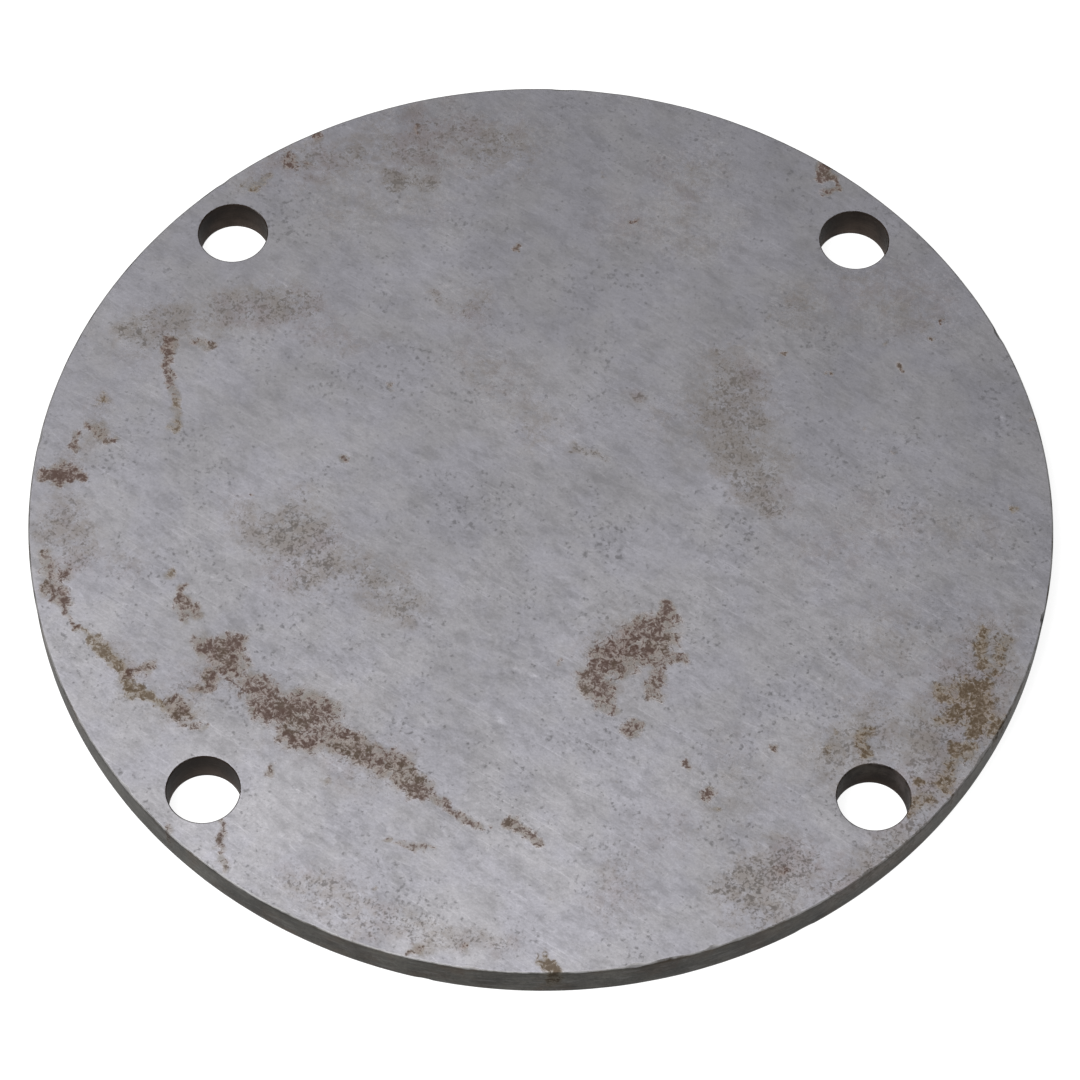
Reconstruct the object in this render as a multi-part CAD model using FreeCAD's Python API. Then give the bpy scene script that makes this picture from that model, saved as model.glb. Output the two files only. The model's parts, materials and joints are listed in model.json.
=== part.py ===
"""Blind flange: one flat, round steel blanking plate with a circle of plain bolt holes.

It bolts over the open end of a flanged pipe or housing and shuts it. The plate is a single
piece, cut from bar or plate stock, turned on its rim, drilled and ground flat on its faces.

Frame: millimetres, +Z along the plate's axis. The origin is the centre of the sealing face,
which is the underside, so the plate stands on Z = 0.
"""

import FreeCAD
import Part

import math
import os

# The plate.
outer_diameter = 202.0
plate_thickness = 8.0
rim_chamfer = 0.3          # the turned rim's edges, both faces

# The bolts that hold it, and the plain holes they pass through.
bolt_count = 4
bolt_diameter = 12.0       # M12
bolt_clearance = 2.0       # hole diameter over bolt diameter
first_bolt_angle = 45.0    # degrees from +X, so that two bolts lie level at each side
rim_ligament = 4.0         # steel left between a hole's wall and the rim
hole_chamfer = 0.2         # the deburred edge at both ends of each hole

# Worked out from the above.
outer_radius = outer_diameter / 2
hole_radius = (bolt_diameter + bolt_clearance) / 2
bolt_circle_radius = outer_radius - rim_ligament - hole_radius
most_chamfer = min(plate_thickness, rim_ligament) / 4
rim_edge = min(rim_chamfer, most_chamfer)
hole_edge = min(hole_chamfer, most_chamfer)

cutter_overrun = 1.0       # how far a drill passes each face, so that the cut is clean
z_axis = FreeCAD.Vector(0, 0, 1)
origin = FreeCAD.Vector(0, 0, 0)


def turned(outline):
    """The solid turned about Z from a closed outline of (radius, height) points."""
    points = [FreeCAD.Vector(radius, 0, height) for radius, height in outline]
    face = Part.Face(Part.makePolygon(points + points[:1]))
    return face.revolve(origin, z_axis, 360)


def plate_blank():
    """The turned disc with both rim edges chamfered, before drilling."""
    return turned([
        (0, 0),
        (outer_radius - rim_edge, 0),
        (outer_radius, rim_edge),
        (outer_radius, plate_thickness - rim_edge),
        (outer_radius - rim_edge, plate_thickness),
        (0, plate_thickness),
    ])


def bolt_hole_cutter():
    """A drill on the Z axis that also takes the sharp edge off both ends of its hole."""
    flare = hole_radius + hole_edge + cutter_overrun
    return turned([
        (0, -cutter_overrun),
        (flare, -cutter_overrun),
        (hole_radius, hole_edge),
        (hole_radius, plate_thickness - hole_edge),
        (flare, plate_thickness + cutter_overrun),
        (0, plate_thickness + cutter_overrun),
    ])


def bolt_centres():
    """Where the holes lie, evenly spaced round the bolt circle."""
    step = 360 / bolt_count
    for number in range(bolt_count):
        angle = math.radians(first_bolt_angle + number * step)
        yield FreeCAD.Vector(
            bolt_circle_radius * math.cos(angle),
            bolt_circle_radius * math.sin(angle),
            0,
        )


def flange_plate():
    """The finished plate."""
    plate = plate_blank()
    drill = bolt_hole_cutter()
    for centre in bolt_centres():
        plate = plate.cut(drill.translated(centre))
    return plate


def report(name, shape):
    """Prints what was made, and stops if it isn't one sound solid."""
    solids = shape.Solids
    if len(solids) != 1 or not shape.isValid():
        raise ValueError(f"{name} is not one valid solid")
    box = shape.BoundBox
    size = f"{box.XLength:.2f} x {box.YLength:.2f} x {box.ZLength:.2f} mm"
    print(f"{name}: {size}, {shape.Volume / 1000:.2f} cm3")


pieces = {"flange_plate": flange_plate}

os.makedirs("parts", exist_ok=True)
for name, make in pieces.items():
    shape = make()
    report(name, shape)
    shape.exportStep(os.path.join("parts", name + ".step"))
print(f"bolt circle {2 * bolt_circle_radius:.2f} mm, holes {2 * hole_radius:.2f} mm")
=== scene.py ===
from collections import namedtuple
import json
import math

import bpy
import numpy as np
from mathutils import Matrix, Vector, noise
from mathutils.geometry import delaunay_2d_cdt


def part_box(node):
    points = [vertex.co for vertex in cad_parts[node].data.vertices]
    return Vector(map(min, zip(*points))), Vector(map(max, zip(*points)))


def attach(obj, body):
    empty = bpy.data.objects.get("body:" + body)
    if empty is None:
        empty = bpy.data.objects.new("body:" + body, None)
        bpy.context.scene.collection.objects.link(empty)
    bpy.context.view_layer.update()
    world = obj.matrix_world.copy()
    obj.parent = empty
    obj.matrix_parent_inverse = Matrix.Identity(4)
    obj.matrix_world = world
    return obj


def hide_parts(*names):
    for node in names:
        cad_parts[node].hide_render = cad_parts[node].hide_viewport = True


# A worn steel blind flange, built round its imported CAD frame: one ground plate with a turned
# rim and four drilled holes. Lengths are in millimetres until a mesh is made from them. X is
# to the right, Y is away from the viewer and Z is up, and the plate's centre is at X = Y = 0.

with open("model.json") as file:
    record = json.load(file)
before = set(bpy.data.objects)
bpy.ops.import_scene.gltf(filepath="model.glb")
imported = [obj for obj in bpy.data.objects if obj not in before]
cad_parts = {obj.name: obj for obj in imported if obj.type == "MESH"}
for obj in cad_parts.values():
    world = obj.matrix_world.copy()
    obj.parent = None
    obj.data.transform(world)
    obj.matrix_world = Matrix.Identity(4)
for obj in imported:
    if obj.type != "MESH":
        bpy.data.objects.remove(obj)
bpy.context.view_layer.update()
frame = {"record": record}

MM = 0.001                 # metres in a millimetre
TURN = 2 * math.pi

# Sizes taken from the frame.
low, high = (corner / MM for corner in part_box("flange_plate"))
mounts = frame["record"]["mounts"]
plate_bottom = low.z
plate_top = high.z
rim_radius = max(high.x - low.x, high.y - low.y) / 2
hole_centres = [
    np.array(mount["pos_m"][:2]) / MM for mount in mounts if mount["kind"] == "bore"
]
hole_radius = next(m["dims"]["hole_r_mm"] for m in mounts if m["kind"] == "bolt_pattern")

# The mesh.
top_grain = 1.0            # gap between points on the plain top face; half of it in the rust
bottom_grain = 1.4
grain_jitter = 0.12        # how far points are moved at random, as a share of the fine gap
grain_margin = 0.4         # room left between the points and an edge, as a share of the gap
fine_cover = 0.1           # the least cover of rust that gets the fine gap
rim_steps = 900            # points round the rim
hole_steps = 96            # points round each hole
wall_rows = 7              # rows of faces down the rim and the holes
rim_support = 0.12         # gap from a rounded edge to the first ring of points on the face
hole_support = 0.10

# The worn edges and walls.
rim_edge = 0.32            # how far the worn rim edge reaches in from the rim
hole_edge = 0.2
rim_clearance = 1.5 * rim_edge         # width beside an edge that is kept for its rings
hole_clearance = 2 * hole_edge
edge_wander = 0.20         # share by which an edge's width wanders along its length
rim_wander_size = 5        # length of that wander
hole_wander_size = 3
hole_shine = 0.3           # how brightly the holes' edges are worn, beside the rim's
rim_ripple = 0.012         # depth of the tool marks down the rim
hole_ripple = 0.010
ripple_size = 24           # length of a tool mark's waves round the wall
run_down = 1.4             # how far the top face's rust runs down a wall before it fades

# How the marks' outlines wander, as (size of the wander, how far it goes).
slow_wander = (7.0, 1.3)
quick_wander = (1.9, 0.85)
stain_stray = 3.0          # how much wider a stain's outline wanders than a rust mark's
mark_fringe = 1.5          # how wide a rust mark's fading edge is, as a share of its radius
stain_fringe = 1.9

# The worn faces' relief.
wave_size = 38             # the long waves left by grinding
wave_height = 0.010
lump_size = 1.7            # the lumps in the rust's crust
maroon_height = 0.035      # how high they stand
ochre_height = 0.045
stain_height = 0.008
maroon_lift = 0.35         # how high the crust is between its lumps, as a share of the above
ochre_lift = 0.25

# Where the surfaces lie on the square map that looks are baked to, as shares of its side.
top_middle = (0.37, 0.63)
top_share = 0.36           # the top face's radius
bottom_middle = (0.785, 0.215)
bottom_share = 0.205
rim_strips = 5             # the rim is cut into strips, side by side
rim_corner = (0.755, 0.50)
hole_corner = (0.02, 0.02)
strip_gap = 0.045

# The camera, with distances in plate radii and angles in degrees.
camera_lens = 140.26       # mm, on a sensor of the width below
camera_sensor = 36.0
camera_target = (-0.0017, -0.0809)
camera_distance = 8.1814
camera_elevation = 60.03
camera_azimuth = -0.344
camera_roll = 0.934

# The light, in metres, watts and Blender's strengths.
key_size = 0.6
key_power = 17.8
key_place = (-0.35, -0.30, 1.0)
horizon_strength = 0.95    # the studio's soft walls
ceiling_strength = 0.165
horizon_height = 0.03      # sines of the heights between which one turns into the other
ceiling_height = 0.32
table_glow = 0.90
table_reach = 3.0
table_drop = 0.0001        # gap under the plate, so that the two faces don't flicker

# How the surfaces take the light: how metallic each is, and how rough.
FACE_METAL, FACE_ROUGH, FACE_SMOOTH = 0.85, 0.50, 0.44
BARE_METAL, BARE_ROUGH = 0.8, 0.55
RIM_METAL, RIM_ROUGH = 0.2, 0.55
HOLE_METAL, HOLE_ROUGH = 0.2, 0.6
RUST_METAL, RUST_ROUGH = 0.05, 0.8

# Colours, as red, green and blue before the light falls on them.
FACE_COOL = (0.418, 0.410, 0.445)
FACE_WARM = (0.424, 0.414, 0.434)
GRIME = (0.118, 0.114, 0.115)
BARE_STEEL = (0.330, 0.324, 0.330)
RIM_OLIVE = (0.038, 0.036, 0.031)
RIM_BROWN = (0.036, 0.028, 0.021)
RIM_SCUFF = (0.082, 0.079, 0.076)
HOLE_BROWN = (0.0235, 0.0172, 0.0138)
HOLE_BLACK = (0.0095, 0.0056, 0.0036)
MAROON_DARK = (0.054, 0.029, 0.022)
MAROON_LIGHT = (0.205, 0.162, 0.148)
OLIVE_DARK = (0.052, 0.034, 0.021)
OCHRE_DARK = (0.060, 0.037, 0.016)
OCHRE_LIGHT = (0.165, 0.128, 0.084)
HALO = (0.200, 0.168, 0.120)
STAIN_TAN = (0.264, 0.222, 0.182)
STAIN_PINK = (0.286, 0.230, 0.222)
STAIN_DOT = (0.050, 0.042, 0.035)
TABLE = (0.2, 0.2, 0.2)
STUDIO_WALL = (0.97, 0.98, 1.0)
wall_bright = 0.35         # the marks' brightness on the dark rim and in the holes

grinding_angle = -36       # degrees from X, along which the faces were ground

# Marks on the top face. Each is (strength, beads), where a bead is (x, y, radius) and a mark
# runs from bead to bead. A strength near 1 is solid rust, and near 0.4 only scattered specks.
MAROON = [
    # The broad band across the front left.
    (0.92, [(-54.5, -41, 3.0), (-52, -46.5, 3.2), (-47.5, -46.5, 3.6), (-42, -47.2, 3.8)]),
    (0.74, [(-48.5, -51.5, 2.2), (-44, -53, 2.6), (-40, -52, 2.4)]),
    (0.92, [(-38.5, -52.8, 2.6), (-35.5, -54, 2.8), (-33, -57, 2.0)]),
    (0.74, [(-31.5, -55.5, 1.6), (-30, -58.5, 2.2)]),
    (0.88, [(-28.5, -56.8, 2.0), (-25.5, -57.5, 2.2), (-25.5, -60.5, 2.4), (-22.3, -62.8, 2.2)]),
    (0.62, [(-20.6, -64.3, 0.9), (-17.6, -66.6, 0.9), (-14.8, -68.8, 1.0), (-10, -70.6, 0.8)]),
    (0.74, [(-6, -70.3, 1.0), (-3.6, -71.6, 1.1), (-1.6, -73, 1.2), (0.4, -74.6, 0.7)]),
    # The blobs behind it.
    (0.80, [(-64, -33, 2.6), (-60.5, -35.5, 3.2), (-58.6, -32.2, 1.9)]),
    (0.70, [(-60, -32, 2.4), (-58, -37.5, 2.0)]),
    (0.82, [(-64.2, -39, 1.5), (-63.6, -41.6, 1.6), (-67.2, -43.2, 0.8)]),
    (0.84, [(-70.6, -44.8, 1.5), (-68.6, -46.8, 2.1)]),
    (0.50, [(-68, -49.6, 0.9), (-63.5, -50.2, 0.8)]),
    (0.78, [(-70.2, -19.2, 0.9), (-69.8, -22.4, 1.2), (-67.2, -25.2, 1.4)]),
    (0.52, [(-69.6, -24.5, 1.8), (-69, -27.5, 1.0)]),
    (0.72, [(-79.8, -39, 1.2), (-77, -38.6, 1.3), (-75, -37.4, 1.3)]),
    # The left edge.
    (0.56, [(-97.2, -13.5, 1.6), (-95.4, -18.4, 2.2), (-92.4, -16, 1.6)]),
    (0.86, [(-96.4, -20.6, 1.4), (-93.6, -21.6, 2.0), (-92.4, -23.6, 1.4)]),
    (0.48, [(-92.2, -25.6, 0.8), (-90, -29, 0.8)]),
    (0.90, [(-97.6, 5.6, 1.7), (-95.2, 6.4, 2.2), (-92, 5.6, 1.3), (-90, 5.2, 0.8)]),
    (0.64, [(-95.6, 3.6, 1.3), (-95, 8.6, 1.1)]),
    (0.66, [(-93.2, 11, 0.9), (-92.2, 14.6, 0.9)]),
    (0.66, [(-90, 17, 0.9), (-87.6, 15.6, 1.3), (-85.6, 13.8, 1.0)]),
    # The streak at the upper left.
    (0.84, [(-75.4, 37.6, 1.3), (-74.9, 32.5, 1.4)]),
    (0.66, [(-74.8, 31, 1.2), (-73.8, 25.4, 1.3)]),
    (0.56, [(-70.4, 37.6, 1.1), (-67, 36, 1.1)]),
    # The patch right of the middle.
    (0.92, [(24.6, -22.6, 1.3), (24.4, -26.4, 2.4), (21, -28.4, 2.6), (24.6, -29.8, 2.2)]),
    (0.80, [(19.5, -27, 2.4), (17.5, -31.5, 3.4), (22, -33.5, 3.2)]),
    (0.82, [(15.5, -31.5, 2.6), (12.2, -34.4, 2.8), (16, -36, 2.8)]),
    (0.92, [(12.2, -35.4, 2.6), (9.6, -39.6, 2.6), (12.6, -42, 2.2)]),
    (0.64, [(12.6, -44, 1.8), (14.8, -46.4, 1.0)]),
    (0.66, [(24, -35, 2.2), (27.6, -34.2, 1.2)]),
    (0.62, [(22.5, -37.5, 1.8), (21.6, -41.6, 1.5)]),
    (0.78, [(19.2, -48.4, 1.1), (17.8, -50.4, 2.0)]),
    # The mark beside the upper right hole.
    (0.96, [(57.6, 81.8, 1.2), (57.2, 79.6, 1.4), (59.2, 78.6, 0.9), (60.2, 76.2, 0.8)]),
    (0.96, [(60, 75.8, 0.8), (57.6, 74.6, 1.1)]),
    # Single spots.
    (0.95, [(-38.6, 10.3, 0.75)]),
    (0.95, [(-5.1, 60.4, 0.7)]),
    (0.72, [(-25.6, 90.6, 0.6), (-25.7, 89.4, 0.5)]),
    (0.80, [(-47.4, 87.6, 1.4)]),
    (0.70, [(-52.4, 82.6, 1.5), (-52.2, 81, 1.2)]),
    (0.60, [(-49.2, 81.8, 1.2)]),
    (0.70, [(-30.2, 26.9, 0.7)]),
    (0.66, [(-56.8, 1.2, 0.6)]),
    (0.70, [(12.2, 78.8, 0.6)]),
    (0.66, [(18, 67.6, 0.8)]),
    (0.70, [(57.6, 31.1, 0.5)]),
    (0.70, [(48.6, 36.2, 0.8)]),
    (0.60, [(46.8, 43.6, 0.6)]),
    (0.74, [(72.6, 33.2, 0.6)]),
    (0.66, [(68.8, 38.8, 0.7)]),
    (0.70, [(78.8, 39.6, 0.5)]),
    (0.64, [(80.8, 44, 0.6)]),
    (0.66, [(70.2, 12.2, 0.5)]),
    (0.70, [(97.8, 21, 0.6)]),
    (0.66, [(64.8, 18, 0.4)]),
    (0.66, [(-51, -59.2, 0.9)]),
    (0.58, [(-40.4, -61.6, 1.2)]),
    (0.66, [(-30.4, -83.2, 0.6)]),
    (0.74, [(-28.8, -73.4, 0.9)]),
    (0.52, [(-27, -74.6, 0.8), (-20.4, -75.6, 0.7)]),
    (0.78, [(-22.4, -96.8, 1.0)]),
    (0.60, [(-12.6, -96, 0.9)]),
    (0.55, [(-60.2, -70.6, 0.7), (-60.4, -75.2, 0.9), (-59.2, -80.4, 0.8)]),
    (0.58, [(-69.2, -72.6, 1.0)]),
    (0.66, [(2.8, -85.8, 0.5)]),
    (0.72, [(32.6, -63.4, 1.4)]),
    (0.66, [(44.8, -53, 0.9)]),
    (0.60, [(28, -57.4, 1.0)]),
    (0.62, [(14.6, -61.4, 0.5)]),
    (0.62, [(46.4, -80.6, 1.4)]),
    (0.55, [(4, -34.2, 0.6), (4, -35.8, 0.5)]),
]
OCHRE = [
    # The right edge.
    (0.80, [(86.6, -27.6, 1.2), (84.6, -30.4, 1.3), (85.8, -34.6, 1.2)]),
    (0.50, [(90, -29.6, 1.4), (87, -37, 1.6)]),
    (0.84, [(77.6, -41, 2.0), (80.4, -40.6, 2.4), (85.4, -40.4, 2.2)]),
    (0.95, [(85.6, -41, 2.2), (84.4, -46, 3.2), (83.2, -49.6, 1.8)]),
    (0.84, [(79.4, -45, 2.2), (77, -47, 1.4)]),
    (0.66, [(88, -46.8, 1.8), (87, -50, 1.4)]),
    (0.96, [(79.2, -54, 1.8), (81.4, -53.6, 1.5)]),
    (0.74, [(79, -57, 1.8), (77.4, -61.6, 1.9)]),
    (0.78, [(74.4, -65, 1.4)]),
    (0.74, [(72.2, -60.4, 1.3)]),
    (0.66, [(72.4, -64, 1.6), (70.6, -67.5, 1.2)]),
    (0.76, [(62.2, -50, 1.3), (62.6, -54.4, 1.3)]),
    (0.50, [(54.8, -54, 1.2)]),
    (0.56, [(56.6, -49.6, 0.8)]),
    # The front edge, the olive arc and smaller marks.
    (0.90, [(2.2, -99.6, 1.5), (1, -98.4, 1.0)]),
    (0.84, [(-86.8, -31.8, 1.2), (-84.4, -34, 1.9), (-81.2, -37.4, 1.4)]),
    (0.80, [(-80, -38.6, 1.2), (-78.6, -41.8, 1.5), (-75.4, -43.8, 1.2), (-71.6, -45.6, 1.1)]),
    (0.50, [(-90.4, -29, 0.7), (-88, -30.8, 0.8)]),
    (0.58, [(-72.8, -15.8, 1.5)]),
    (0.62, [(-87.8, 23.6, 1.5)]),
    (0.62, [(-73.8, 25, 1.2), (-72.8, 18.6, 1.3)]),
    (0.60, [(-74, 17.2, 0.8), (-72.2, 16.8, 0.9)]),
    (0.56, [(-60, 75.5, 1.6), (-57, 78, 1.4)]),
    (0.60, [(34.2, -66.8, 1.0)]),
    (0.62, [(93.4, -0.3, 0.9)]),
]
STAIN = [
    # The haze left of the middle, and its tail.
    (0.84, [(-50, -6, 9), (-46, -13, 8)]),
    (0.60, [(-57, -2, 6)]),
    (0.64, [(-36, -15, 6), (-26, -22, 5)]),
    # The left edge.
    (0.70, [(-94, -4, 6), (-90, -11, 5)]),
    (0.45, [(-82, -14, 6)]),
    (0.50, [(-88, 20, 4), (-93, 12, 4)]),
    (0.45, [(-95, -20, 5)]),
    (0.45, [(-95, 6, 6)]),
    # The upper left.
    (0.74, [(-82, 38, 7), (-74, 44, 7)]),
    (0.72, [(-64, 45, 8), (-50, 46, 7)]),
    (0.50, [(-46, 41, 6), (-38, 37, 5)]),
    (0.66, [(-47, 80, 7), (-38, 84, 7)]),
    (0.70, [(-28, 87, 8), (-18, 88, 8), (-8, 88, 8)]),
    (0.42, [(-40, 70, 9), (-26, 74, 8)]),
    (0.55, [(-53, 84, 4), (-60, 76, 4)]),
    (0.90, [(-21.8, 50, 2.0)]),
    (0.90, [(-31.4, 78.4, 2.4), (-24.4, 79, 1.6)]),
    (0.62, [(-15, 46, 6)]),
    (0.48, [(-12, 30, 10), (0, 18, 8)]),
    # The haze right of the middle.
    (0.78, [(38, 28, 9), (39, 16, 9), (44, 5, 7)]),
    (0.50, [(24, 23, 6)]),
    (0.90, [(43.8, 20.4, 2.6)]),
    (0.90, [(39.8, 30.8, 2.4)]),
    (0.90, [(34.2, 33.2, 1.6)]),
    (0.90, [(45, 1.4, 2.6)]),
    (0.90, [(17.4, 27.6, 2.0)]),
    (0.90, [(9.2, 13.4, 1.6), (12.6, 12, 1.6)]),
    (0.42, [(52, -10, 8), (64, -3, 8), (84, -6, 9)]),
    # The upper right.
    (0.50, [(66, 50, 8), (78, 46, 7)]),
    (0.58, [(53, 46, 7)]),
    (0.50, [(30, 82, 8), (27, 72, 7)]),
    (0.42, [(14, 68, 7), (36, 64, 6)]),
    # The right edge.
    (0.74, [(88, -28, 7), (82, -44, 11), (75, -60, 9)]),
    (0.66, [(66, -50, 9), (58, -56, 8)]),
    (0.70, [(73, -66, 5), (66, -75, 5), (56, -82, 5)]),
    (0.44, [(70, -30, 12)]),
    # The front.
    (0.82, [(40, -84, 7), (46, -78, 7)]),
    (0.36, [(38, -60, 13), (26, -72, 9)]),
    (0.56, [(-44, -83, 5), (-30, -91, 4), (-18, -94, 3.5), (-6, -96, 3)]),
    (0.50, [(14, -82, 8)]),
    # Round the rust.
    (0.66, [(18, -33, 9)]),
    (0.50, [(-46, -48, 10), (-30, -58, 7)]),
    (0.50, [(-62, -36, 6), (-70, -45, 5)]),
    (0.50, [(-84, -34, 4), (-78, -42, 4)]),
]

# Marks on the underside.
UNDER_MAROON = [
    (0.90, [(34, 42, 3.0), (40, 47, 3.6), (47, 48, 2.6)]),
    (0.72, [(29, 36, 2.2), (24, 33, 1.4)]),
    (0.84, [(-58, 22, 2.4), (-62, 15, 3.0), (-60, 8, 1.8)]),
    (0.66, [(-70, -30, 2.4), (-66, -38, 1.8)]),
    (0.80, [(8, -52, 2.0), (15, -56, 2.6), (24, -57, 1.6)]),
    (0.92, [(88, 18, 2.4), (92, 10, 2.0)]),
    (0.60, [(-12, 82, 2.0), (-4, 86, 1.4)]),
]
UNDER_OCHRE = [
    (0.86, [(-42, -78, 3.4), (-34, -84, 2.6)]),
    (0.70, [(60, -20, 1.6), (64, -28, 2.0)]),
    (0.80, [(-93, 22, 2.0), (-90, 30, 2.2)]),
    (0.66, [(46, 84, 1.8), (52, 80, 2.2)]),
]
UNDER_STAIN = [
    (0.60, [(38, 44, 12)]),
    (0.55, [(-60, 14, 12)]),
    (0.60, [(-40, -76, 14)]),
    (0.50, [(16, -54, 12)]),
    (0.55, [(84, 10, 10), (62, -26, 9)]),
    (0.45, [(0, 10, 22)]),
]

# Dents in the faces, as (depth in mm, beads like those of the marks).
DENTS = [
    (0.060, [(-8, -49, 0.9)]),
    (0.030, [(-5, -37.2, 0.5), (-1, -38.8, 0.4)]),
    (0.040, [(92, -12, 0.5), (96, -17.5, 0.5)]),
    (0.040, [(-38.6, 10.3, 0.7)]),
    (0.040, [(-5.1, 60.4, 0.7)]),
    (0.035, [(62, -74, 0.9)]),
    (0.030, [(52, 12, 0.8)]),
    (0.030, [(-64, -18, 0.8)]),
    (0.040, [(90.6, 4, 0.4), (91.6, 21, 0.4)]),
]
UNDER_DENTS = [
    (0.060, [(20, 14, 0.9)]),
    (0.045, [(-34, 48, 0.7), (-28, 51, 0.6)]),
    (0.050, [(50, -58, 0.9)]),
    (0.040, [(-18, -24, 0.6), (-9, -31, 0.5)]),
]

# Rings of points round a dent's middle, as (share of its radius, points in the ring), and how
# many radii round it are kept clear for them.
DIMPLE_RINGS = [(0.25, 5), (0.60, 9), (0.95, 12), (1.35, 14)]
DIMPLE_CLEARANCE = 1.7

# Nicks in the rim's edges, as (angle in degrees, length in mm, depth in usual edge widths).
NICKS = [
    (-79.5, 2.6, 1.3), (-76.0, 5.0, 0.7), (-71.0, 1.8, 1.6), (-68.0, 3.0, 0.6), (-52.0, 2.0, 0.9),
    (-97.0, 2.4, 0.8), (-118.0, 3.0, 0.7), (-141.0, 2.0, 1.0), (172.0, 2.6, 0.9), (131.0, 2.0, 0.8),
    (88.0, 3.4, 0.8), (24.0, 2.6, 1.0), (-14.0, 2.2, 1.1), (-33.0, 2.8, 0.8),
]
UNDER_NICKS = [
    (-60.0, 3.0, 1.2), (-102.0, 2.4, 0.9), (-160.0, 2.2, 1.1), (140.0, 3.6, 0.8), (64.0, 2.0, 1.3),
    (8.0, 2.8, 0.9),
]

# A worn edge's steps from the face down to the wall: the shares of its width that are left
# before the wall and gone below the face, and how far the edge is worn bright there.
EDGE_PROFILE = [
    (1 - math.sin(math.radians(angle)), 1 - math.cos(math.radians(angle)), shine)
    for angle, shine in ((22, 1.0), (45, 0.9), (68, 0.45), (90, 0.0))
]

Side = namedtuple("Side", "name level inward grain kinds dents nicks seed")
Circle = namedtuple("Circle", "name centre radius steps support ripple most_shine seed")

TOP_MARKS = (MAROON, OCHRE, STAIN)
UNDER_MARKS = (UNDER_MAROON, UNDER_OCHRE, UNDER_STAIN)
TOP = Side("top", plate_top, -1, top_grain, TOP_MARKS, DENTS, NICKS, 3.0)
BOTTOM = Side(
    "bottom", plate_bottom, 1, bottom_grain, UNDER_MARKS, UNDER_DENTS, UNDER_NICKS, 7.0
)

# The outlines of the faces: the rim, with its steel inside it, then the holes.
CIRCLES = [
    Circle("rim", (0, 0), rim_radius, rim_steps, -rim_support, rim_ripple, 1.0, 11)
] + [
    Circle(
        f"hole_{number}", centre, hole_radius, hole_steps,
        hole_support, -hole_ripple, hole_shine, 21 + number,
    )
    for number, centre in enumerate(hole_centres)
]


def smooth(value):
    """0 below 0, 1 above 1, and an easy curve between them."""
    value = np.clip(value, 0, 1)
    return value * value * (3 - 2 * value)


def rough_field(points, size, seed, octaves=3):
    """A wandering value of about -1 to 1 at each 2-D point, with features of the given size."""
    values = [
        noise.fractal(Vector((x / size, y / size, seed)), 0.8, 2.1, octaves) for x, y in points
    ]
    return np.array(values)


def cover_of(points, marks, fringe=1.0):
    """How strongly the marks cover each point: their strength inside, none well outside.

    The fringe is how wide the fading edge is, as a share of the mark's radius."""
    cover = np.zeros(len(points))
    for strength, beads in marks:
        for (ax, ay, ar), (bx, by, br) in zip(beads, beads[1:] or beads):
            along = np.array([bx - ax, by - ay])
            length = max(along @ along, 1e-9)
            away = points - (ax, ay)
            share = np.clip(away @ along / length, 0, 1)
            distance = np.hypot(*(away - share[:, None] * along).T)
            reach = ar + (br - ar) * share
            cover = np.maximum(cover, strength * smooth(0.5 + (1 - distance / reach) / fringe))
    return cover


def wander(points, size, seed):
    """Two wandering values at each point, one for X and one for Y."""
    return np.column_stack([rough_field(points, size, seed + turn) for turn in (0, 20)])


def strayed(points, seed, scale=1.0):
    """The points moved a little, so that the marks' outlines wander as rust does."""
    slow_size, slow_reach = slow_wander
    quick_size, quick_reach = quick_wander
    slow = wander(points, slow_size * scale, seed)
    quick = wander(points, quick_size * scale, seed + 40)
    return points + scale * (slow_reach * slow + quick_reach * quick)


def covers_of(points, seed, kinds):
    """How strongly maroon rust, ochre rust and stain cover each point."""
    near = strayed(points, seed)
    far = strayed(points, seed, stain_stray)
    maroon, ochre, stain = kinds
    rusts = [cover_of(near, kind, mark_fringe) for kind in (maroon, ochre)]
    return rusts + [cover_of(far, stain, stain_fringe)]


def ring(radius, count, centre=(0, 0)):
    """Points on a circle. The radius may be one number or one for each point."""
    angle = np.arange(count) * TURN / count
    return np.column_stack(
        [centre[0] + radius * np.cos(angle), centre[1] + radius * np.sin(angle)]
    )


def around(count, size, seed, radius):
    """A wandering value of about -1 to 1 for each point round a circle of the given radius."""
    return rough_field(ring(radius, count), size, seed, 4)


class Solid:
    """Gathers one closed mesh, with notes of how each point and each face looks."""

    def __init__(self):
        self.points = []
        self.looks = {"maroon": [], "ochre": [], "stain": [], "worn": []}
        self.faces = []
        self.surfaces = []
        self.count = 0

    def add_points(self, points, covers, worn):
        """Adds points with their marks' strengths and their wear, and gives their numbers."""
        self.points.append(np.asarray(points, float))
        for name, values in zip(self.looks, [*covers, worn]):
            self.looks[name].append(np.broadcast_to(values, len(points)))
        numbers = np.arange(self.count, self.count + len(points))
        self.count += len(points)
        return numbers

    def heights(self, numbers):
        """The heights of the points with those numbers."""
        return np.concatenate(self.points)[numbers, 2]

    def add_faces(self, faces, surface):
        """Adds faces that belong to the named surface."""
        self.faces.extend(faces)
        self.surfaces.extend([surface] * len(faces))

    def add_band(self, rows, surface):
        """Joins each closed row of point numbers to the next one with four-sided faces."""
        for lower, upper in zip(rows, rows[1:]):
            ahead_low = np.roll(lower, -1)
            ahead_up = np.roll(upper, -1)
            quads = np.column_stack([lower, ahead_low, ahead_up, upper])
            self.add_faces(quads.tolist(), surface)


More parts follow.
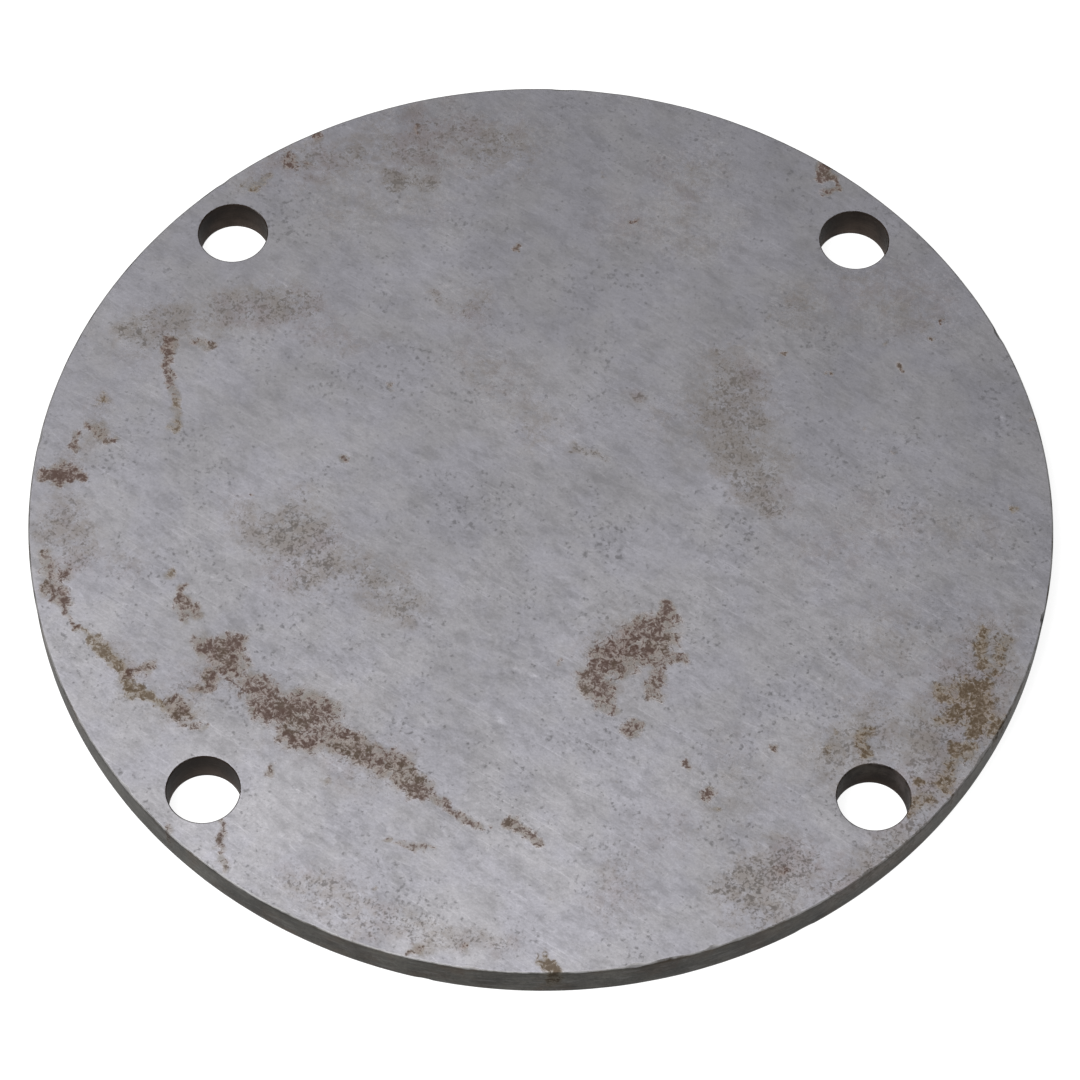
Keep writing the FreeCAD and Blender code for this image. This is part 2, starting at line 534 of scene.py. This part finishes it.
def even_lattice(grain):
    """Points of a lattice with gaps of half the grain, and which of them a coarse one keeps."""
    fine = grain / 2
    row_gap = fine * math.sqrt(0.75)
    half_rows = int(rim_radius / row_gap) + 2
    half_columns = int(rim_radius / fine) + 2
    row, column = np.mgrid[-half_rows : half_rows + 1, -half_columns : half_columns + 1]
    x = (column + (row % 2) / 2) * fine
    y = row * row_gap
    coarse = (row % 2 == 0) & ((column + row // 2) % 2 == 0)
    return np.column_stack([x.ravel(), y.ravel()]), coarse.ravel()


def clear_of_edges(points, grain):
    """Which points lie on the flat of the face, clear of the rim's and the holes' edges."""
    margin = grain_margin * grain
    inside = np.hypot(*points.T) < rim_radius - rim_clearance - margin
    for centre in hole_centres:
        inside &= np.hypot(*(points - centre).T) > hole_radius + hole_clearance + margin
    return inside


def face_lattice(side):
    """Points of a flat face: an even lattice, twice as fine in the rust, with rings at dents."""
    points, coarse = even_lattice(side.grain)
    inside = clear_of_edges(points, side.grain)
    points, coarse = points[inside], coarse[inside]
    maroon, ochre, _ = side.kinds
    keep = coarse | (cover_of(points, maroon + ochre, mark_fringe) > fine_cover)
    dimples = []
    for _, beads in side.dents:
        for x, y, radius in beads:
            keep &= np.hypot(*(points - (x, y)).T) > DIMPLE_CLEARANCE * radius
            dimples += [ring(radius * share, count, (x, y)) for share, count in DIMPLE_RINGS]
    points = points[keep]
    chance = np.random.default_rng(int(side.seed))
    moved = chance.uniform(-grain_jitter, grain_jitter, points.shape) * (side.grain / 2)
    return np.vstack([points + moved] + dimples)


def face_mesh(lattice, borders):
    """Triangles over the lattice, inside the first border and outside the others.

    The borders' points come first in the points that are given back, in order."""
    points = np.vstack(borders + [lattice])
    home = np.full(len(points), -1)        # which border each point is on, if any
    edges = []
    start = 0
    for number, border in enumerate(borders):
        count = len(border)
        home[start : start + count] = number
        edges += [(start + k, start + (k + 1) % count) for k in range(count)]
        start += count
    found = delaunay_2d_cdt(points.tolist(), edges, [], 1, 1e-7, True)
    origin = np.array([olds[0] if olds else -1 for olds in found[3]])
    if (origin < 0).any() or len(origin) != len(points):
        raise ValueError("the face's triangles need points of their own")
    triangles = origin[np.array(found[2])]
    # A triangle with all its corners on one border lies in a hole or beyond the rim.
    homes = home[triangles]
    beyond = (homes == homes[:, :1]).all(axis=1) & (homes[:, 0] >= 0)
    return points, triangles[~beyond]


def crust(cover, height, lift, lumps):
    """How far a rust's lumpy crust stands up: nothing where the cover is thin."""
    return height * smooth(2 * cover - 0.7) * (lift + lumps)


def relief(points, covers, side):
    """How far the worn face stands above or below flat."""
    maroon, ochre, stain = covers
    lumps = rough_field(points, lump_size, side.seed + 80, 3)
    height = wave_height * rough_field(points, wave_size, side.seed + 90, 2)
    height += crust(maroon, maroon_height, maroon_lift, lumps)
    height += crust(ochre, ochre_height, ochre_lift, lumps)
    height += stain_height * stain * lumps
    return height - cover_of(points, side.dents)


def rim_widths(side):
    """The worn rim edge's width at each step round it, with its nicks."""
    width = 1 + edge_wander * around(rim_steps, rim_wander_size, side.seed, rim_radius)
    turn = np.degrees(np.arange(rim_steps) * TURN / rim_steps)
    for angle, length, depth in side.nicks:
        away = np.abs((turn - angle + 180) % 360 - 180)
        width += depth * smooth(1.5 - np.radians(away) * rim_radius * 2 / length)
    return rim_edge * width


def hole_widths(side, number):
    """The worn edge's width at each step round one hole."""
    wandering = around(hole_steps, hole_wander_size, side.seed + number, hole_radius)
    return hole_edge * (1 + edge_wander * wandering)


def worn_edge(solid, side, circle, first, width):
    """Rows of points that round a face off, from its border, the first row, into a wall.

    The width is measured out from the circle, so it is negative at the rim."""
    rows = [first]
    for inset, drop, shine in EDGE_PROFILE:
        edge = ring(circle.radius + width * inset, circle.steps, circle.centre)
        z = side.level + side.inward * np.abs(width) * drop
        covers = covers_of(edge, side.seed, side.kinds)
        points = np.column_stack([edge, z])
        rows.append(solid.add_points(points, covers, shine * circle.most_shine))
    return rows


def build_face(solid, side):
    """Adds one flat face, and gives the rows of the worn edge at each circle."""
    widths = [-rim_widths(side)]
    widths += [hole_widths(side, number) for number in range(len(hole_centres))]
    borders = []
    support = []
    for circle, width in zip(CIRCLES, widths):
        radius = circle.radius + width
        borders.append(ring(radius, circle.steps, circle.centre))
        support.append(ring(radius + circle.support, circle.steps, circle.centre))
    flat, triangles = face_mesh(np.vstack([face_lattice(side)] + support), borders)
    on_border = sum(circle.steps for circle in CIRCLES)
    covers = covers_of(flat, side.seed, side.kinds)
    lift = relief(flat, covers, side)
    lift[:on_border] = 0
    worn = np.zeros(len(flat))
    worn[:on_border] = np.repeat(
        [circle.most_shine for circle in CIRCLES], [circle.steps for circle in CIRCLES]
    )
    points = np.column_stack([flat, side.level - side.inward * lift])
    numbers = solid.add_points(points, covers, worn)
    order = [0, 1, 2] if side.name == "top" else [0, 2, 1]
    solid.add_faces(numbers[triangles][:, order].tolist(), side.name)

    edges = []
    start = 0
    for circle, width in zip(CIRCLES, widths):
        first = numbers[start : start + circle.steps]
        edges.append(worn_edge(solid, side, circle, first, width))
        start += circle.steps
    return edges


def wall(solid, circle, lower, upper):
    """Rows of points up a wall between its two worn edges, with shallow tool marks."""
    low_z = solid.heights(lower)
    high_z = solid.heights(upper)
    rows = []
    for row in range(1, wall_rows):
        share = row / wall_rows
        mark = circle.ripple * around(circle.steps, ripple_size, circle.seed + row, circle.radius)
        edge = ring(circle.radius - circle.ripple + mark, circle.steps, circle.centre)
        z = low_z + (high_z - low_z) * share
        # The top face's rust runs over its edge and fades down the wall.
        left = smooth(run_down * share)
        covers = [cover * left for cover in covers_of(edge, TOP.seed, TOP.kinds)]
        rows.append(solid.add_points(np.column_stack([edge, z]), covers, 0))
    return rows


def build_plate():
    """The plate's points and faces, with notes of how they look."""
    solid = Solid()
    top_edges = build_face(solid, TOP)
    bottom_edges = build_face(solid, BOTTOM)
    for circle, top_edge, bottom_edge in zip(CIRCLES, top_edges, bottom_edges):
        rows = bottom_edge + wall(solid, circle, bottom_edge[-1], top_edge[-1]) + top_edge[::-1]
        solid.add_band(rows if circle.name == "rim" else rows[::-1], circle.name)
    return solid


def unrolled(place, owner, chosen, centre):
    """The chosen corners' angles round the centre, and those of their faces' middles.

    A corner's angle is in the same turn as its face's, so that no face is torn."""
    away = place[chosen, :2] - centre
    angle = np.arctan2(away[:, 1], away[:, 0]) % TURN
    _, index = np.unique(owner[chosen], return_inverse=True)
    count = np.bincount(index)
    middle_x = np.bincount(index, away[:, 0]) / count
    middle_y = np.bincount(index, away[:, 1]) / count
    middle = (np.arctan2(middle_y, middle_x) % TURN)[index]
    return middle + (angle - middle + math.pi) % TURN - math.pi, middle


def bake_map(mesh, surfaces):
    """Lays the surfaces out without overlaps, so that baked looks keep their detail."""
    loops = np.zeros(len(mesh.loops), int)
    mesh.loops.foreach_get("vertex_index", loops)
    place = np.zeros(3 * len(mesh.vertices))
    mesh.vertices.foreach_get("co", place)
    place = place.reshape(-1, 3)[loops] / MM
    totals = np.zeros(len(mesh.polygons), int)
    mesh.polygons.foreach_get("loop_total", totals)
    owner = np.repeat(np.arange(len(mesh.polygons)), totals)
    surface = np.array(surfaces)[owner]
    scale = top_share / rim_radius
    uv = np.zeros((len(loops), 2))

    top = surface == "top"
    uv[top] = top_middle + place[top, :2] * scale
    bottom = surface == "bottom"
    uv[bottom] = bottom_middle + place[bottom, :2] * bottom_share / rim_radius

    rim = surface == "rim"
    angle, middle = unrolled(place, owner, rim, (0, 0))
    strip = np.minimum((middle / TURN * rim_strips).astype(int), rim_strips - 1)
    along = (angle - strip * TURN / rim_strips) * rim_radius * scale
    uv[rim, 0] = rim_corner[0] + strip_gap * strip + place[rim, 2] * scale
    uv[rim, 1] = rim_corner[1] + along

    for number, centre in enumerate(hole_centres):
        hole = surface == f"hole_{number}"
        angle, _ = unrolled(place, owner, hole, centre)
        uv[hole, 0] = hole_corner[0] + angle * hole_radius * scale
        uv[hole, 1] = hole_corner[1] + strip_gap * number + place[hole, 2] * scale
    layer = mesh.uv_layers.new(name="OFBake")
    layer.uv.foreach_set("vector", uv.astype(np.float32).ravel())


class Graph:
    """One material's nodes. A number, colour or socket can be given wherever a value is needed."""

    def __init__(self, name):
        self.material = bpy.data.materials.new(name)
        self.material.use_nodes = True
        self.tree = self.material.node_tree
        self.tree.nodes.clear()
        coordinates = self.node("TexCoord")
        self.place = self.vector("SCALE", coordinates.outputs["Object"], scale=1 / MM)

    def node(self, kind, inputs=None, **settings):
        """A new node with its settings and inputs."""
        made = self.tree.nodes.new("ShaderNode" + kind)
        for name, value in settings.items():
            setattr(made, name, value)
        for name, value in (inputs or {}).items():
            self.feed(made.inputs[name], value)
        return made

    def feed(self, socket, value):
        """Links a socket to the input, or sets its value."""
        if isinstance(value, bpy.types.NodeSocket):
            self.tree.links.new(value, socket)
        else:
            socket.default_value = value

    def math(self, operation, *values):
        """One step of arithmetic."""
        numbered = dict(enumerate(values))
        return self.node("Math", numbered, operation=operation).outputs[0]

    def plus(self, first, second):
        """The sum of two numbers."""
        return self.math("ADD", first, second)

    def times(self, first, second):
        """The product of two numbers."""
        return self.math("MULTIPLY", first, second)

    def most(self, first, second):
        """The greater of two numbers."""
        return self.math("MAXIMUM", first, second)

    def vector(self, operation, first, second=None, scale=None):
        """One step of vector arithmetic."""
        inputs = {0: first}
        if second is not None:
            inputs[1] = second
        if scale is not None:
            inputs["Scale"] = scale
        return self.node("VectorMath", inputs, operation=operation).outputs[0]

    def ramp(self, value, start, end, low=0.0, high=1.0):
        """low before start, high after end, and an easy curve between."""
        inputs = {"Value": value, "From Min": start, "From Max": end, "To Min": low, "To Max": high}
        return self.node("MapRange", inputs, interpolation_type="SMOOTHSTEP").outputs[0]

    def sway(self, value, gain, middle=1.0):
        """A noise turned into a factor about the middle value."""
        return self.math("MULTIPLY_ADD", value, gain, middle - gain / 2)

    def noise(self, size, detail=4.0, rough=0.6, place=None, shift=0.0, bend=0.0):
        """Noise of about 0 to 1, with features of the given size in mm."""
        if place is None:
            place = self.place
        if shift:
            place = self.vector("ADD", place, (shift, shift, shift))
        inputs = {
            "Vector": place, "Scale": 1 / size, "Detail": detail,
            "Roughness": rough, "Distortion": bend,
        }
        return self.node("TexNoise", inputs).outputs[0]

    def dots(self, size, shift, edge):
        """Round dots about size mm apart: 1 in the middle and 0 at the edge, a share of the size."""
        place = self.vector("ADD", self.place, (shift, shift, shift))
        cells = self.node("TexVoronoi", {"Vector": place, "Scale": 1 / size})
        return self.math("MULTIPLY_ADD", cells.outputs["Distance"], -1 / edge, 1.0)

    def mix(self, amount, first, second):
        """The first colour, with the second over it by the amount."""
        return self.node("Mix", {0: amount, 6: first, 7: second}, data_type="RGBA").outputs[2]

    def blend(self, amount, first, second):
        """The first number, with the second over it by the amount."""
        return self.node("Mix", {0: amount, 2: first, 3: second}).outputs[0]

    def part(self, axis):
        """How far along an axis the place lies, in mm."""
        return self.node("SeparateXYZ", {0: self.place}).outputs[axis]

    def attribute(self, name):
        """A value stored at the mesh's points."""
        return self.node("Attribute", attribute_name=name).outputs["Fac"]

    def finish(self, colour, metal, rough, height, depth, gloss):
        """Connects the surface to the material's output. depth is the relief's depth in mm."""
        bump = self.node("Bump", {"Strength": 1.0, "Distance": depth * MM, "Height": height})
        inputs = {
            "Base Color": colour, "Metallic": metal, "Roughness": rough,
            "Normal": bump.outputs[0],
        }
        surface = self.node("BsdfPrincipled", inputs)
        surface.inputs["Specular IOR Level"].default_value = gloss
        output = self.node("OutputMaterial")
        self.tree.links.new(surface.outputs[0], output.inputs["Surface"])
        return self.material


def tone(colour, bright):
    """A colour made darker or brighter."""
    return (*(part * bright for part in colour), 1)


def streaked(graph, angle, length, width):
    """The place, turned and squeezed so that noise read there makes streaks at an angle from X."""
    inputs = {"Vector": graph.place, "Angle": math.radians(-angle)}
    turned = graph.node("VectorRotate", inputs, rotation_type="Z_AXIS").outputs[0]
    return graph.vector("MULTIPLY", turned, (1 / length, 1 / width, 1 / length))


def scratches(graph, angle, length, width, sparse, shift):
    """Fine straight lines at an angle from X, where few are left as sparse grows."""
    lines = graph.noise(1.0, 1.0, 0.5, streaked(graph, angle, length, width), shift, 0.25)
    return graph.ramp(lines, sparse, sparse + 0.10)


def rust(graph, mark, uneven, grit, dark, light):
    """One kind of rust: its colour, how far it hides the steel and how thick it lies."""
    density = graph.math("MULTIPLY_ADD", mark, 1.5, uneven)
    ragged = graph.math("MULTIPLY_ADD", grit, 0.5, density)
    cover = graph.times(graph.ramp(ragged, 0.30, 1.35), graph.ramp(mark, 0.02, 0.35))
    thick = graph.ramp(graph.plus(density, grit), 0.1, 1.75)
    return graph.mix(thick, light, dark), cover, graph.times(thick, cover)


def stained(graph, colour, uneven, grit, bright):
    """Lays the broken film of stain and its dark dots over a colour, and gives the dots' cover."""
    stain = graph.attribute("stain")
    edge = graph.ramp(stain, 0.0, 0.75)
    ragged = graph.sway(graph.noise(3.6, 7.0, 0.80, shift=51.0, bend=0.3), 6.5, 0.0)
    film = graph.math("MULTIPLY_ADD", stain, 1.2, ragged)
    film = graph.times(graph.ramp(film, -0.1, 1.45, 0.0, 0.56), edge)
    pinkness = graph.ramp(graph.noise(20.0, 3.0, 0.6, shift=52.0), 0.47, 0.60)
    tint = graph.mix(pinkness, tone(STAIN_TAN, bright), tone(STAIN_PINK, bright))
    colour = graph.mix(film, colour, tint)
    pepper = graph.math("MULTIPLY_ADD", graph.dots(0.62, 71.0, 0.6), 0.7, grit)
    dots = graph.plus(stain, graph.math("MULTIPLY_ADD", uneven, 0.45, pepper))
    dots = graph.times(graph.ramp(dots, 0.56, 1.45, 0.0, 0.78), edge)
    return graph.mix(dots, colour, tone(STAIN_DOT, 1)), dots


def corroded(graph, steel, metal, rough, height, bright=1.0):
    """Lays stain, ochre rust and maroon rust over bare steel, broken up by noise."""
    clump = graph.noise(4.5, 2.0, 0.5, shift=3.0, bend=0.3)
    fray = graph.noise(2.2, 6.0, 0.78, shift=9.0, bend=1.0)
    uneven = graph.plus(graph.sway(clump, 1.3, 0.0), graph.sway(fray, 5.2, 0.0))
    grit = graph.sway(graph.noise(0.9, 4.0, 0.7, shift=15.0, bend=0.8), 6.5, 0.0)
    maroon_mark = graph.attribute("maroon")
    ochre_mark = graph.attribute("ochre")

    halo = graph.ramp(graph.most(maroon_mark, ochre_mark), 0.05, 0.7)
    colour = graph.mix(graph.times(halo, 0.55), steel, tone(HALO, bright))
    colour, dots = stained(graph, colour, uneven, grit, bright)

    ochre, ochre_cover, ochre_crust = rust(
        graph, ochre_mark, uneven, grit, tone(OCHRE_DARK, bright), tone(OCHRE_LIGHT, bright)
    )
    olive = graph.ramp(graph.noise(6.0, 2.0, 0.5, shift=21.0), 0.48, 0.68)
    maroon_dark = graph.mix(olive, tone(MAROON_DARK, bright), tone(OLIVE_DARK, bright))
    maroon, maroon_cover, maroon_crust = rust(
        graph, maroon_mark, uneven, grit, maroon_dark, tone(MAROON_LIGHT, bright)
    )
    colour = graph.mix(graph.times(ochre_cover, 0.85), colour, ochre)
    colour = graph.mix(graph.times(maroon_cover, 0.92), colour, maroon)

    cover = graph.most(graph.most(ochre_cover, maroon_cover), dots)
    metal = graph.blend(cover, metal, RUST_METAL)
    rough = graph.blend(cover, rough, RUST_ROUGH)
    height = graph.math("MULTIPLY_ADD", graph.most(ochre_crust, maroon_crust), 1.2, height)
    return colour, metal, rough, height


def bared(graph, colour, metal, rough):
    """Shows bright bare steel in patches along the worn edges."""
    worn = graph.attribute("worn")
    patchy = graph.sway(graph.noise(6.0, 4.0, 0.6, shift=81.0), 3.0, 0.0)
    patchy = graph.ramp(graph.plus(worn, patchy), 0.35, 1.15)
    patchy = graph.times(patchy, graph.ramp(worn, 0.0, 0.4, 0.0, 0.6))
    colour = graph.mix(patchy, colour, tone(BARE_STEEL, 1))
    metal = graph.blend(patchy, metal, BARE_METAL)
    return colour, metal, graph.blend(patchy, rough, BARE_ROUGH)


def fine_scratches(graph):
    """Scratches at several angles, most of them along the grinding."""
    lines = scratches(graph, -33, 12, 0.30, 0.65, 5.0)
    for number, (angle, sparse) in enumerate([(-24, 0.68), (-46, 0.68), (-6, 0.70), (58, 0.72)]):
        lines = graph.most(lines, scratches(graph, angle, 9, 0.28, sparse, 6.0 + number))
    return lines


def grime(graph):
    """The cover of grey blotches along the grinding, and of dark specks gathered in places."""
    blotch = graph.noise(1.0, 8, 0.80, streaked(graph, grinding_angle, 7, 3.6), 31.0, 0.15)
    blotch = graph.ramp(blotch, 0.46, 0.62, 0.0, 0.26)
    gather = graph.sway(graph.noise(14, 3, 0.6, shift=37.0), 2.0, 0.0)
    speck = graph.sway(graph.noise(1.3, 5, 0.75, shift=41.0, bend=0.4), 5.0, 0.0)
    speck = graph.math("MULTIPLY_ADD", graph.dots(1.1, 43.0, 0.6), 0.8, graph.plus(speck, gather))
    return graph.most(blotch, graph.ramp(speck, 0.50, 1.30, 0.0, 0.62))


def ground_steel():
    """The two ground faces: dull lavender-grey steel, blotched, pitted and finely scratched."""
    graph = Graph("ground_steel")
    cloud = graph.noise(22, 5, 0.62, shift=1.0)
    mottle = graph.noise(1.5, 6, 0.80, shift=2.0)
    brushed = graph.noise(1.0, 5, 0.74, streaked(graph, grinding_angle, 2.2, 0.8), 4.0)
    grain = graph.noise(0.45, 2, 0.6, shift=4.0)
    lines = fine_scratches(graph)

    # The far half was handled less, so its marks are fainter.
    fade = graph.ramp(graph.part("Y"), -50, 60, 1.0, 0.75)
    shade = graph.times(graph.sway(mottle, 1.2), graph.sway(brushed, 0.5))
    shade = graph.times(shade, graph.sway(grain, 0.35))
    shade = graph.plus(shade, graph.times(lines, 0.15))
    shade = graph.times(graph.blend(fade, 1.0, shade), graph.sway(cloud, 0.6))
    warmth = graph.ramp(graph.noise(12, 4, 0.6, shift=61.0), 0.40, 0.60)
    steel = graph.mix(warmth, tone(FACE_COOL, 1), tone(FACE_WARM, 1))
    steel = graph.vector("SCALE", steel, scale=shade)
    steel = graph.mix(graph.times(grime(graph), fade), steel, tone(GRIME, 1))

    rough = graph.ramp(mottle, 0.4, 0.6, FACE_ROUGH, FACE_SMOOTH)
    height = graph.math("SUBTRACT", graph.times(grain, 0.6), graph.times(lines, 0.1))
    surface = corroded(graph, *bared(graph, steel, FACE_METAL, rough), height)
    return graph.finish(*surface, depth=0.02, gloss=0.25)


def turned_rim():
    """The turned rim: dark olive-grey oxide, with faint tool lines round it and scuffs."""
    graph = Graph("turned_rim")
    round_it = graph.vector("MULTIPLY", graph.place, (0.12, 0.12, 4.0))
    lines = graph.noise(1.0, 3, 0.6, round_it, 2.0)
    cloud = graph.noise(9, 4, 0.6, shift=3.0)
    grain = graph.noise(0.6, 4, 0.65, shift=4.0)
    shade = graph.times(graph.sway(cloud, 2.6), graph.sway(lines, 1.6))
    shade = graph.times(shade, graph.sway(grain, 1.8))
    brown = graph.ramp(graph.noise(13, 4, 0.65, shift=8.0), 0.46, 0.62)
    steel = graph.mix(brown, tone(RIM_OLIVE, 1), tone(RIM_BROWN, 1))
    steel = graph.vector("SCALE", steel, scale=shade)
    scuff = graph.vector("MULTIPLY", graph.place, (0.22, 0.22, 0.9))
    scuff = graph.ramp(graph.noise(1.0, 5, 0.75, scuff, 91.0), 0.53, 0.64, 0.0, 0.55)
    steel = graph.mix(scuff, steel, tone(RIM_SCUFF, 1))
    height = graph.plus(lines, graph.times(grain, 0.4))
    bare = bared(graph, steel, RIM_METAL, RIM_ROUGH)
    surface = corroded(graph, *bare, height, wall_bright)
    return graph.finish(*surface, depth=0.03, gloss=0.08)


def drilled_wall():
    """The holes' walls: near-black brown with the drill's feed marks, and painted light that makes
    them paler at the bottom.

    The front right hole's wall is darker."""
    graph = Graph("drilled_wall")
    round_it = graph.vector("MULTIPLY", graph.place, (0.15, 0.15, 5.0))
    lines = graph.noise(1.0, 3, 0.6, round_it, 7.0)
    cloud = graph.noise(4, 4, 0.6, shift=6.0)
    shade = graph.times(graph.sway(cloud, 1.6), graph.sway(lines, 1.2))
    # Painted light: the walls' colour is made up to 1.7 times paler towards the bottom, as if lit
    # from the glowing table below.
    shade = graph.times(shade, graph.ramp(graph.part("Z"), 0.0, 6.0, 1.7, 0.95))
    # The front right hole's wall turns from dark brown to near black.
    right = graph.ramp(graph.part("X"), 30, 55)
    front = graph.ramp(graph.part("Y"), -30, -55)
    steel = graph.mix(graph.times(right, front), tone(HOLE_BROWN, 1), tone(HOLE_BLACK, 1))
    steel = graph.vector("SCALE", steel, scale=shade)
    bare = bared(graph, steel, HOLE_METAL, HOLE_ROUGH)
    surface = corroded(graph, *bare, lines, wall_bright)
    return graph.finish(*surface, depth=0.04, gloss=0.03)


def make_plate():
    """The finished plate as one Blender object."""
    solid = build_plate()
    mesh = bpy.data.meshes.new("steel_plate")
    points = np.concatenate(solid.points) * MM
    mesh.from_pydata(points.tolist(), [], solid.faces)
    mesh.validate()
    for name, values in solid.looks.items():
        attribute = mesh.attributes.new(name, "FLOAT", "POINT")
        attribute.data.foreach_set("value", np.concatenate(values).astype(np.float32))
    for material in (ground_steel(), turned_rim(), drilled_wall()):
        mesh.materials.append(material)
    slots = {"top": 0, "bottom": 0, "rim": 1}
    index = [slots.get(surface, 2) for surface in solid.surfaces]
    mesh.polygons.foreach_set("material_index", index)
    mesh.shade_smooth()
    bake_map(mesh, solid.surfaces)
    plate = bpy.data.objects.new("steel_plate", mesh)
    bpy.context.scene.collection.objects.link(plate)
    return plate


def make_floor():
    """A plain white table top that glows a little, like a light table."""
    mesh = bpy.data.meshes.new("floor")
    reach = table_reach
    corners = [(-reach, -reach, 0), (reach, -reach, 0), (reach, reach, 0), (-reach, reach, 0)]
    mesh.from_pydata(corners, [], [(0, 1, 2, 3)])
    floor = bpy.data.objects.new("floor", mesh)
    floor.location.z = plate_bottom * MM - table_drop
    bpy.context.scene.collection.objects.link(floor)
    material = bpy.data.materials.new("white_table")
    material.use_nodes = True
    surface = material.node_tree.nodes["Principled BSDF"]
    surface.inputs["Base Color"].default_value = tone(TABLE, 1)
    surface.inputs["Roughness"].default_value = 0.9
    surface.inputs["Emission Color"].default_value = (1, 1, 1, 1)
    surface.inputs["Emission Strength"].default_value = table_glow
    mesh.materials.append(material)


def make_key_light():
    """A large square soft box at the front left, facing the plate."""
    data = bpy.data.lights.new("key", "AREA")
    data.size = key_size
    data.energy = key_power
    light = bpy.data.objects.new("key", data)
    light.location = key_place
    light.rotation_euler = (-Vector(key_place)).to_track_quat("-Z", "Y").to_euler()
    bpy.context.scene.collection.objects.link(light)


def make_surroundings():
    """Soft light from all round: pale walls and a dimmer ceiling."""
    world = bpy.data.worlds.new("studio")
    world.use_nodes = True
    tree = world.node_tree
    background = tree.nodes["Background"]
    background.inputs["Color"].default_value = tone(STUDIO_WALL, 1)
    direction = tree.nodes.new("ShaderNodeTexCoord").outputs["Generated"]
    parts = tree.nodes.new("ShaderNodeSeparateXYZ")
    strength = tree.nodes.new("ShaderNodeMapRange")
    strength.interpolation_type = "SMOOTHSTEP"
    strength.inputs["From Min"].default_value = horizon_height
    strength.inputs["From Max"].default_value = ceiling_height
    strength.inputs["To Min"].default_value = horizon_strength
    strength.inputs["To Max"].default_value = ceiling_strength
    tree.links.new(direction, parts.inputs[0])
    tree.links.new(parts.outputs["Z"], strength.inputs["Value"])
    tree.links.new(strength.outputs[0], background.inputs["Strength"])
    bpy.context.scene.world = world
    bpy.context.scene.view_settings.view_transform = "Standard"


def make_camera():
    """A long lens that looks down at the plate from the front."""
    data = bpy.data.cameras.new("camera")
    data.lens = camera_lens
    data.sensor_width = camera_sensor
    radius = rim_radius * MM
    target = Vector((camera_target[0] * radius, camera_target[1] * radius, plate_top * MM))
    elevation = math.radians(camera_elevation)
    azimuth = math.radians(camera_azimuth)
    back = Vector((
        math.sin(azimuth) * math.cos(elevation),
        -math.cos(azimuth) * math.cos(elevation),
        math.sin(elevation),
    ))
    turn = (-back).to_track_quat("-Z", "Y").to_matrix().to_4x4()
    roll = Matrix.Rotation(math.radians(camera_roll), 4, "Z")
    camera = bpy.data.objects.new("camera", data)
    distance = camera_distance * radius
    place = Matrix.Translation(target + back * distance)
    camera.matrix_world = place @ turn @ roll
    bpy.context.scene.collection.objects.link(camera)
    bpy.context.scene.camera = camera


plate = make_plate()
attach(plate, "root")
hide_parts("flange_plate")
make_floor()
make_surroundings()
make_key_light()
make_camera()
